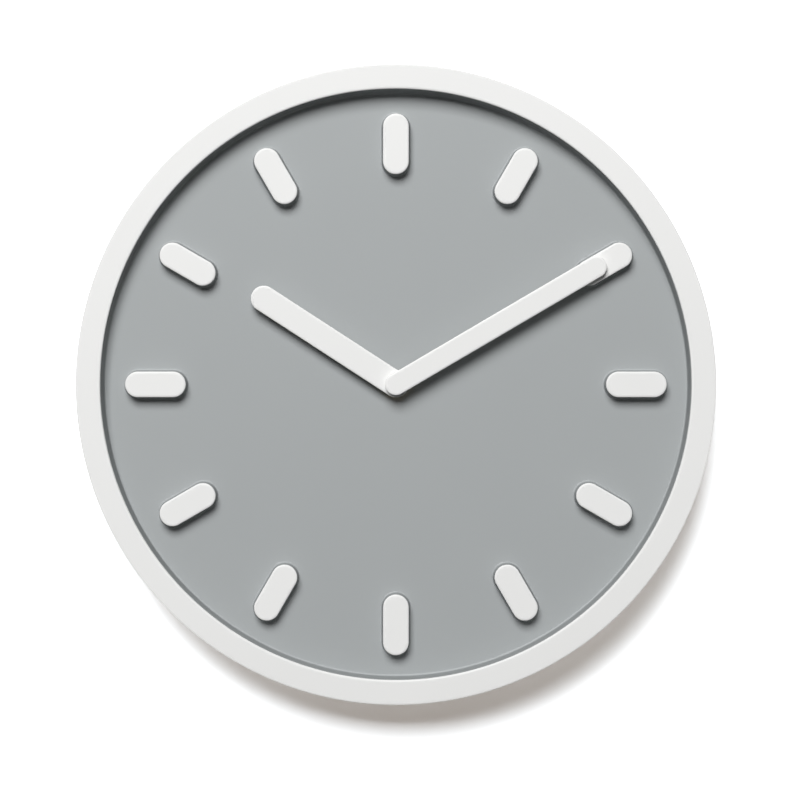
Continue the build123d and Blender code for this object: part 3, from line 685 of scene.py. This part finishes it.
knob_colour = (0.09, 0.09, 0.095)
knob_roughness = 0.32
knob_plastic = moulded_plastic("knob_grey", knob_colour, knob_roughness, fine_grain_m)
knob_radius_m = (knob_high.x - knob_low.x) / 2
knob_bore_m = 0.002
knob_dish_m = 0.0004
knob_lip_m = 0.0014
knob_round_m = 0.0004
knob_flutes = 24
knob_flute_m = 0.0005
steps_a_flute = 12
flute_sharpness = 4
knob_segments = knob_flutes * steps_a_flute
knob_outline = rounded_profile(
    [
        (knob_bore_m, knob_low.y),
        (knob_radius_m, knob_low.y),
        (knob_radius_m, knob_high.y),
        (knob_radius_m - knob_lip_m, knob_high.y),
        (knob_radius_m - knob_lip_m - knob_dish_m, knob_high.y - knob_dish_m),
        (knob_bore_m, knob_high.y - knob_dish_m),
    ],
    {1: knob_round_m, 2: knob_round_m},
)
knob_points, knob_faces = turned_surface(knob_outline, knob_segments)
off_knob_axis = np.hypot(knob_points[:, 0], knob_points[:, 2])
outer_share = np.clip((off_knob_axis - knob_radius_m) / knob_lip_m + 1, 0, 1)
knob_turn = np.arctan2(knob_points[:, 2], knob_points[:, 0])
flute_share = np.cos(knob_turn * knob_flutes / 2) ** flute_sharpness
shrink = 1 - outer_share * flute_share * knob_flute_m / knob_radius_m
knob_points = knob_points * np.stack([shrink, np.ones_like(shrink), shrink], 1) + (knob_x, 0, knob_z)
new_piece("fluted_knob", [(knob_points, knob_faces)], knob_plastic, "setting_knob")

# Gear train: wheels, pinions and arbors moulded in natural acetal, which is waxy and slightly cream.
# They run in blind holes in the housing and the cover, and can't be seen once the cover is on.

acetal_colour = (0.74, 0.72, 0.66)
acetal_roughness = 0.35
gear_plastic = moulded_plastic("natural_acetal", acetal_colour, acetal_roughness, fine_grain_m)
dress(gear_plastic, "minute_arbor", "hour_wheel", "minute_wheel", "rotor_pinion")
dress(gear_plastic, "centre_wheel", "third_wheel", "second_wheel", "intermediate_wheel")

# Step motor: a stator stamped from soft iron, a ring magnet on the rotor, and a coil of enamelled copper
# wire wound turn beside turn on a black bobbin, whose core lies across the feet of the stator.

iron_colour = (0.42, 0.42, 0.43)
iron_roughness = 0.35
motor_iron = bright_metal("stamped_iron", iron_colour, iron_roughness)
dress(motor_iron, "stator", "coil_core")
magnet_colour = (0.05, 0.05, 0.055)
magnet_roughness = 0.6
magnet_dark = moulded_plastic("sintered_magnet", magnet_colour, magnet_roughness, coarse_grain_m)
dress(magnet_dark, "rotor_magnet")
dress(black_plastic, "coil_bobbin")
copper_colour = (0.66, 0.30, 0.14)
copper_roughness = 0.3
copper = bright_metal("enamelled_copper", copper_colour, copper_roughness)
coil_low, coil_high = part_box("coil_winding")
coil_centre = (0, (coil_low.y + coil_high.y) / 2, (coil_low.z + coil_high.z) / 2)
coil_radius_m = (coil_high.z - coil_low.z) / 2
coil_bore_m = 0.002
wire_m = 0.0003
steps_a_turn = 8
coil_segments = 40
coil_steps = round((coil_high.x - coil_low.x) / wire_m) * steps_a_turn
coil_x = np.linspace(coil_low.x, coil_high.x, coil_steps + 1)
turn_share = np.arange(coil_steps + 1) % steps_a_turn / steps_a_turn
coil_skin = coil_radius_m - wire_m / 2 + wire_m / 2 * np.sqrt(1 - (2 * turn_share - 1) ** 2)
coil_bore = np.array([(coil_bore_m, coil_high.x), (coil_bore_m, coil_low.x)])
coil_outline = np.concatenate([np.stack([coil_skin, coil_x], 1), coil_bore])
coil_surface = turned_surface(coil_outline, coil_segments, coil_centre, "x")
new_piece("coil_turns", [coil_surface], copper, "coil_winding")

# Electrics: a small board under green solder mask with its crystal can, and two contacts of plated
# spring steel. The contacts are pushed into the battery bay and soldered to the board by their arms.

mask_colour = (0.03, 0.17, 0.07)
mask_roughness = 0.35
board_green = moulded_plastic("solder_mask", mask_colour, mask_roughness, coarse_grain_m)
dress(board_green, "circuit_board")
dress(steel, "quartz_crystal", "contact_positive", "contact_negative")

# Battery: one AA cell in a plain printed jacket that is shrunk over the steel can and rolled in at its
# ends. It lies in the bay with its nub to the left, and lifts straight out of the back.

cell_low, cell_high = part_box("battery")
cell_y = (cell_low.y + cell_high.y) / 2
cell_z = (cell_low.z + cell_high.z) / 2
cell_radius_m = (cell_high.z - cell_low.z) / 2
nub_length_m = 0.001
nub_radius_m = 0.0027
nub_round_m = 0.0004
plate_radius_m = 0.0056
jacket_roll_m = 0.0006
jacket_drop_m = 0.0003
cell_segments = 96
shoulder_x = cell_low.x + nub_length_m
cell_outline = rounded_profile(
    [
        (0, cell_low.x),
        (nub_radius_m, cell_low.x),
        (nub_radius_m, shoulder_x + jacket_drop_m),
        (plate_radius_m, shoulder_x + jacket_drop_m),
        (plate_radius_m + jacket_drop_m, shoulder_x),
        (cell_radius_m, shoulder_x),
        (cell_radius_m, cell_high.x - jacket_drop_m),
        (plate_radius_m + jacket_drop_m, cell_high.x - jacket_drop_m),
        (plate_radius_m, cell_high.x),
        (0, cell_high.x),
    ],
    {1: nub_round_m, 5: jacket_roll_m, 6: jacket_roll_m},
)
cell_jacket, place = new_material("cell_jacket")
steel_colour = (0.60, 0.61, 0.62)
jacket_colour = (0.05, 0.11, 0.13)
band_colour = (0.55, 0.57, 0.58)
band_length_m = 0.011
band_line_m = 0.0008
jacket_roughness = 0.28
steel_roughness = 0.34
print_size_m = 0.0002
print_depth_m = 0.000002
print_gloss_range = 0.08
line_from_m = band_length_m + band_line_m * 2
line_to_m = band_length_m + band_line_m * 3
flat_along_x = (0.0, 1.0, 1.0)
from_nub = place.along("X") - cell_low.x
off_cell_axis = place.node(
    "ShaderNodeVectorMath",
    {"operation": "DISTANCE"},
    {0: place.scaled(flat_along_x), 1: (0.0, cell_y, cell_z)},
    "Value",
)
on_jacket = off_cell_axis.above(plate_radius_m + jacket_drop_m / 2)
past_band = from_nub.above(band_length_m)
on_line = from_nub.above(line_from_m) - from_nub.above(line_to_m)
ground = past_band.mix(shaded(band_colour, 1.0), shaded(jacket_colour, 1.0))
printed = on_line.mix(ground, shaded(band_colour, 1.0))
print_grain = place.noise(print_size_m)
cell_roughness = steel_roughness + on_jacket * (jacket_roughness - steel_roughness)
surface(
    cell_jacket,
    Base_Color=on_jacket.mix(shaded(steel_colour, 1.0), printed),
    Metallic=1 - on_jacket,
    Roughness=cell_roughness + print_grain * print_gloss_range,
    Normal=print_grain.bump(print_depth_m),
)
cell_surface = turned_surface(cell_outline, cell_segments, (0, cell_y, cell_z), "x", closed=False)
new_piece("cell", [cell_surface], cell_jacket, "battery")

# Bush, gasket, washer and nut: the threaded brass bush comes through the dial from the movement, and the
# nut clamps it there on a washer, with a rubber gasket behind the dial. The hands' collets are brass too.

brass_colour = (0.78, 0.57, 0.26)
brass_roughness = 0.25
brass = bright_metal("turned_brass", brass_colour, brass_roughness)
dress(brass, "centre_bush", "washer", "hex_nut", "hour_collet", "minute_collet")
rubber_colour = (0.016, 0.016, 0.016)
rubber_roughness = 0.75
rubber = moulded_plastic("black_rubber", rubber_colour, rubber_roughness, coarse_grain_m)
dress(rubber, "gasket")

# Hands: two white moulded strips with round ends and soft edges, hollow at the back.
# Each is pressed on its arbor by a brass collet, so nothing shows in front.


def hand_piece(name, node, reach_m, width_m, turn, boss_m, bore_m, hole_m):
    """Round-ended bar with a crowned front, a hollow back and, at its pivot, a boss round the collet."""
    skin_m = 0.0012
    boss_root_m = 0.0002
    boss_steps = 64
    front_y, back_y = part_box(node)[0].y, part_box(node)[1].y
    hollow_y = front_y + skin_m
    half_m = width_m / 2
    inner_m = half_m - skin_m
    outline = np.concatenate(
        [
            [(hole_m, hollow_y), (inner_m, hollow_y), (inner_m, back_y), (half_m, back_y)],
            crowned_edge(half_m, front_y, 1, crown_drop_m),
            [(hole_m, front_y)],
        ]
    )
    straight_m = np.full(len(outline), reach_m - half_m)
    if hole_m:
        straight_m[[0, -1]] = 0
    root_y = hollow_y - boss_root_m
    socket_outline = np.array([(bore_m, back_y), (boss_m, back_y), (boss_m, root_y), (bore_m, root_y)])
    hand_parts = [
        bar_surface(outline, straight_m, 0, turn, closed=hole_m > 0),
        turned_surface(socket_outline, boss_steps),
    ]
    new_piece(name, hand_parts, white_plastic, node)


hour_reach_m = 0.0957
hour_width_m = 0.0145
hour_turn = radians(303.0)
hour_boss_m = 0.0049
hour_bore_m = 0.0037
hour_hole_m = 0.0025
minute_reach_m = 0.136
minute_width_m = 0.0121
minute_turn = radians(59.6)
minute_boss_m = 0.0039
minute_bore_m = 0.0027
hand_piece(
    "hour_bar", "hour_hand", hour_reach_m, hour_width_m, hour_turn,
    hour_boss_m, hour_bore_m, hour_hole_m,
)
hand_piece(
    "minute_bar", "minute_hand", minute_reach_m, minute_width_m, minute_turn,
    minute_boss_m, minute_bore_m, 0,
)

# Wall: the plain white wall that the clock hangs on. It keeps the clock's shadow.
# Seen from behind it is clear, so that the back of the clock can be looked at.


def seen_rays(tree):
    """1 on rays that show the background, straight on, in a reflection or through glass, else 0."""
    light_path = tree.nodes.new("ShaderNodeLightPath")
    camera_ray = Value(tree, light_path.outputs["Is Camera Ray"])
    glossy_ray = Value(tree, light_path.outputs["Is Glossy Ray"])
    transmission_ray = Value(tree, light_path.outputs["Is Transmission Ray"])
    return camera_ray.larger(glossy_ray).larger(transmission_ray)


wall_half_m = 3.0
wall_gap_m = 0.0004
wall_corners = np.array([(-1, 0, -1), (1, 0, -1), (1, 0, 1), (-1, 0, 1)]) * wall_half_m
wall_corners[:, 1] = wall_gap_m
wall_mesh = bpy.data.meshes.new("wall")
wall_mesh.from_pydata(wall_corners.tolist(), [], [(0, 1, 2, 3)])
wall = bpy.data.objects.new("wall", wall_mesh)
bpy.context.scene.collection.objects.link(wall)
wall_paint = (0.5, 0.495, 0.49, 1.0)
wall_seen = (1.62, 1.71, 1.79, 1.0)
# Painted glow: on the rays that show the wall, it gives off a faint warm light that lifts and warms the
# clock's shadow on it.
wall_glow = (0.24, 0.204, 0.172, 1.0)
no_glow = (0.0, 0.0, 0.0, 1.0)
wall_material = bpy.data.materials.new("white_wall")
wall_material.use_nodes = True
tree = wall_material.node_tree
tree.nodes.clear()
seen = seen_rays(tree)
shadow_ray = seen.node("ShaderNodeLightPath", {}, {}, "Is Shadow Ray")
backfacing = seen.node("ShaderNodeNewGeometry", {}, {}, "Backfacing")
paint = seen.node("ShaderNodeBsdfDiffuse", {}, {"Color": seen.mix(wall_paint, wall_seen)})
glow = seen.node("ShaderNodeEmission", {}, {"Color": seen.mix(no_glow, wall_glow)})
lit_paint = seen.node("ShaderNodeAddShader", {}, {0: paint, 1: glow})
clear = seen.node("ShaderNodeBsdfTransparent", {}, {})
shown = seen.node("ShaderNodeMixShader", {}, {0: backfacing.larger(shadow_ray), 1: lit_paint, 2: clear})
wall_output = tree.nodes.new("ShaderNodeOutputMaterial")
tree.links.new(shown.socket, wall_output.inputs["Surface"])
wall_mesh.materials.append(wall_material)

# Studio light: one large soft lamp in front, above and a little to the left, in a pale room.
# Two lamps behind the wall light the back, and nothing that faces the front.


def soft_lamp(name, place, size_m, watts):
    """A square lamp of the given size that faces the middle of the clock."""
    lamp = bpy.data.lights.new(name, "AREA")
    lamp.shape = "SQUARE"
    lamp.size = size_m
    lamp.energy = watts
    holder = bpy.data.objects.new(name, lamp)
    holder.location = place
    holder.rotation_euler = (-holder.location).to_track_quat("-Z", "Y").to_euler()
    holder.visible_camera = False
    bpy.context.scene.collection.objects.link(holder)


key_distance_m = 4.0
key_size_m = 2.13
key_watts = 204.0
key_lean = radians(36)
key_side = radians(106)
key_place = (
    key_distance_m * sin(key_lean) * cos(key_side),
    -key_distance_m * cos(key_lean),
    key_distance_m * sin(key_lean) * sin(key_side),
)
soft_lamp("key_lamp", key_place, key_size_m, key_watts)
back_lamp_size_m = 1.2
back_left_place = (-1.5, 2.4, -0.1)
back_left_watts = 62.0
back_right_place = (1.8, 2.0, -0.2)
back_right_watts = 25.0
soft_lamp("back_lamp_left", back_left_place, back_lamp_size_m, back_left_watts)
soft_lamp("back_lamp_right", back_right_place, back_lamp_size_m, back_right_watts)

room_light = 0.04
room_colour = (1.0, 1.0, 1.0, 1.0)
world = bpy.data.worlds.new("pale_room")
world.use_nodes = True
bpy.context.scene.world = world
tree = world.node_tree
background = tree.nodes["Background"]
background.inputs["Color"].default_value = room_colour
strength = seen_rays(tree) * (1 - room_light) + room_light
tree.links.new(strength.socket, background.inputs["Strength"])

# Camera: straight in front, at the distance that shows as much of the plinths' inner ends as the
# photograph does. The clock stands a little high in the frame.

frame_pixels = 800
frame_width_m = 0.4478
camera_distance_m = 1.3
sensor_width_mm = 36.0
shift_right_pixels = 4.1
shift_up_pixels = -15.6
camera = bpy.data.cameras.new("camera")
camera.sensor_width = sensor_width_mm
camera.lens = sensor_width_mm * camera_distance_m / frame_width_m
camera.shift_x = shift_right_pixels / frame_pixels
camera.shift_y = shift_up_pixels / frame_pixels
camera_holder = bpy.data.objects.new("camera", camera)
camera_holder.location = (0, ring_front_y - camera_distance_m, 0)
camera_holder.rotation_euler = (radians(90), 0, 0)
bpy.context.scene.collection.objects.link(camera_holder)
bpy.context.scene.camera = camera_holder
bpy.context.scene.view_settings.view_transform = "Standard"
